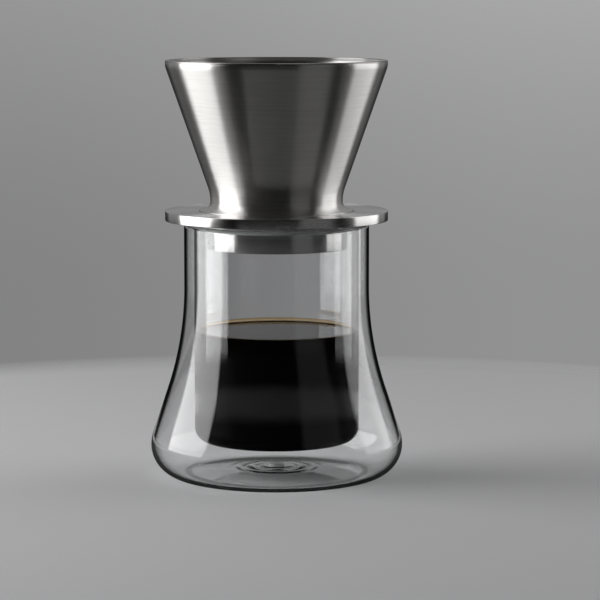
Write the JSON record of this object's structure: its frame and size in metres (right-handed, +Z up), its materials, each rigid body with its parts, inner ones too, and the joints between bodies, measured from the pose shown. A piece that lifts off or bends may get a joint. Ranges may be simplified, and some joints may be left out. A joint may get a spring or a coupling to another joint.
{
  "type": "pour over dripper",
  "caption": "Brushed steel pour-over dripper cone on a round flange with a locating collar, seated in the mouth of a bell-shaped double-wall glass server.",
  "frame": {"origin": "centre of the server's ground base ring, on the surface that it stands on", "axes": "+Z up along the common axis of server, base ring and cone; X and Y are free, because every outline is round"},
  "size_m": [0.135, 0.135, 0.223],
  "materials": {
    "clear_glass": "polished",
    "clear_silicone": "satin",
    "brushed_flange_steel": "satin",
    "dark_silicone": "matte",
    "brushed_cone_steel": "satin",
    "satin_inner_steel": "satin"
  },
  "bodies": {
    "server": {"server_outer_wall": "clear_glass", "server_inner_wall": "clear_glass", "server_vent_seal": "clear_silicone"},
    "base_ring": {"rest_flange": "brushed_flange_steel", "locating_collar": "brushed_flange_steel", "mouth_gasket": "clear_silicone"},
    "foot_seal_ring": {"foot_seal": "dark_silicone"},
    "cone": {"outer_shell": "brushed_cone_steel", "inner_cone": "satin_inner_steel", "outlet_spout": "satin_inner_steel", "spigot_floor": "satin_inner_steel"}
  },
  "joints": [
    {"name": "dripper_lift", "type": "slide", "parent": "server", "child": "base_ring", "axis": [0, 0, 1], "range_m": [0, 0.06]},
    {"name": "cone_turn", "type": "hinge", "parent": "base_ring", "child": "foot_seal_ring", "pos_m": [0, 0, 0.1406], "axis": [0, 0, 1], "continuous": true},
    {"name": "cone_lift", "type": "slide", "parent": "foot_seal_ring", "child": "cone", "axis": [0, 0, 1], "range_m": [0, 0.05]}
  ]
}
